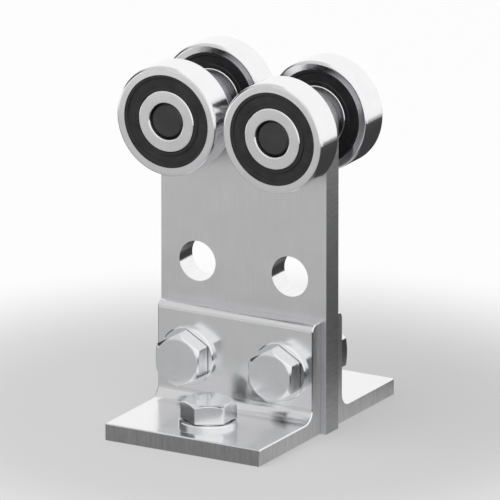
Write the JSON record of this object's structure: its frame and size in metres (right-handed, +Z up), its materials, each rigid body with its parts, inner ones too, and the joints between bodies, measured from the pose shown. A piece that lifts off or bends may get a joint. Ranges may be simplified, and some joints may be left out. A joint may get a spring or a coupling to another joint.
{
  "type": "strut channel trolley",
  "caption": "Trolley that rolls inside strut channel on sealed ball-bearing wheels, with a steel hanger plate, bolted angle feet and bolt shanks below to hold a load.",
  "frame": {"origin": "midway between the two feet, level with their undersides", "axes": "+X along the channel, +Y across it towards the nuts, +Z up towards the wheels"},
  "size_m": [0.062, 0.072, 0.1127],
  "materials": {
    "plate_steel": "satin",
    "bracket_steel": "bright",
    "bearing_steel": "polished",
    "ball_steel": "mirror",
    "cage_steel": "pressed",
    "seal_rubber": "matte",
    "pin_steel": "blackened",
    "spacer_steel": "turned",
    "fastener_steel": "zinc plated"
  },
  "bodies": {
    "frame": {"hanger_plate": "plate_steel", "front_angle_bracket": "bracket_steel", "rear_angle_bracket": "bracket_steel", "left_axle_pin": "pin_steel", "right_axle_pin": "pin_steel", "front_left_inner_ring": "bearing_steel", "front_left_spacer": "spacer_steel", "front_right_inner_ring": "bearing_steel", "front_right_spacer": "spacer_steel", "rear_left_inner_ring": "bearing_steel", "rear_left_spacer": "spacer_steel", "rear_right_inner_ring": "bearing_steel", "rear_right_spacer": "spacer_steel", "left_clamp_bolt": "fastener_steel", "left_clamp_bolt_washer": "fastener_steel", "left_clamp_nut": "fastener_steel", "left_clamp_nut_washer": "fastener_steel", "right_clamp_bolt": "fastener_steel", "right_clamp_bolt_washer": "fastener_steel", "right_clamp_nut": "fastener_steel", "right_clamp_nut_washer": "fastener_steel", "front_foot_washer": "fastener_steel", "front_foot_bolt": "fastener_steel", "rear_foot_washer": "fastener_steel", "rear_foot_bolt": "fastener_steel"},
    "front_left_wheel": {"front_left_outer_ring": "bearing_steel", "front_left_outer_seal": "seal_rubber", "front_left_inner_seal": "seal_rubber"},
    "front_left_cage": {"front_left_ball_cage": "cage_steel", "front_left_balls": "ball_steel"},
    "front_right_wheel": {"front_right_outer_ring": "bearing_steel", "front_right_outer_seal": "seal_rubber", "front_right_inner_seal": "seal_rubber"},
    "front_right_cage": {"front_right_ball_cage": "cage_steel", "front_right_balls": "ball_steel"},
    "rear_left_wheel": {"rear_left_outer_ring": "bearing_steel", "rear_left_outer_seal": "seal_rubber", "rear_left_inner_seal": "seal_rubber"},
    "rear_left_cage": {"rear_left_ball_cage": "cage_steel", "rear_left_balls": "ball_steel"},
    "rear_right_wheel": {"rear_right_outer_ring": "bearing_steel", "rear_right_outer_seal": "seal_rubber", "rear_right_inner_seal": "seal_rubber"},
    "rear_right_cage": {"rear_right_ball_cage": "cage_steel", "rear_right_balls": "ball_steel"}
  },
  "joints": [
    {"name": "front_left_wheel_spin", "type": "hinge", "parent": "frame", "child": "front_left_wheel", "pos_m": [-0.016, 0, 0.0835], "axis": [0, 1, 0], "continuous": true},
    {"name": "front_left_cage_spin", "type": "hinge", "parent": "frame", "child": "front_left_cage", "pos_m": [-0.016, 0, 0.0835], "axis": [0, 1, 0], "continuous": true},
    {"name": "front_right_wheel_spin", "type": "hinge", "parent": "frame", "child": "front_right_wheel", "pos_m": [0.016, 0, 0.0835], "axis": [0, 1, 0], "continuous": true},
    {"name": "front_right_cage_spin", "type": "hinge", "parent": "frame", "child": "front_right_cage", "pos_m": [0.016, 0, 0.0835], "axis": [0, 1, 0], "continuous": true},
    {"name": "rear_left_wheel_spin", "type": "hinge", "parent": "frame", "child": "rear_left_wheel", "pos_m": [-0.016, 0, 0.0835], "axis": [0, 1, 0], "continuous": true},
    {"name": "rear_left_cage_spin", "type": "hinge", "parent": "frame", "child": "rear_left_cage", "pos_m": [-0.016, 0, 0.0835], "axis": [0, 1, 0], "continuous": true},
    {"name": "rear_right_wheel_spin", "type": "hinge", "parent": "frame", "child": "rear_right_wheel", "pos_m": [0.016, 0, 0.0835], "axis": [0, 1, 0], "continuous": true},
    {"name": "rear_right_cage_spin", "type": "hinge", "parent": "frame", "child": "rear_right_cage", "pos_m": [0.016, 0, 0.0835], "axis": [0, 1, 0], "continuous": true}
  ],
  "couplings": [
    {"joint": "front_left_cage_spin", "follows": "front_left_wheel_spin", "ratio": 0.619},
    {"joint": "front_right_cage_spin", "follows": "front_right_wheel_spin", "ratio": 0.619},
    {"joint": "rear_left_cage_spin", "follows": "rear_left_wheel_spin", "ratio": 0.619},
    {"joint": "rear_right_cage_spin", "follows": "rear_right_wheel_spin", "ratio": 0.619}
  ]
}
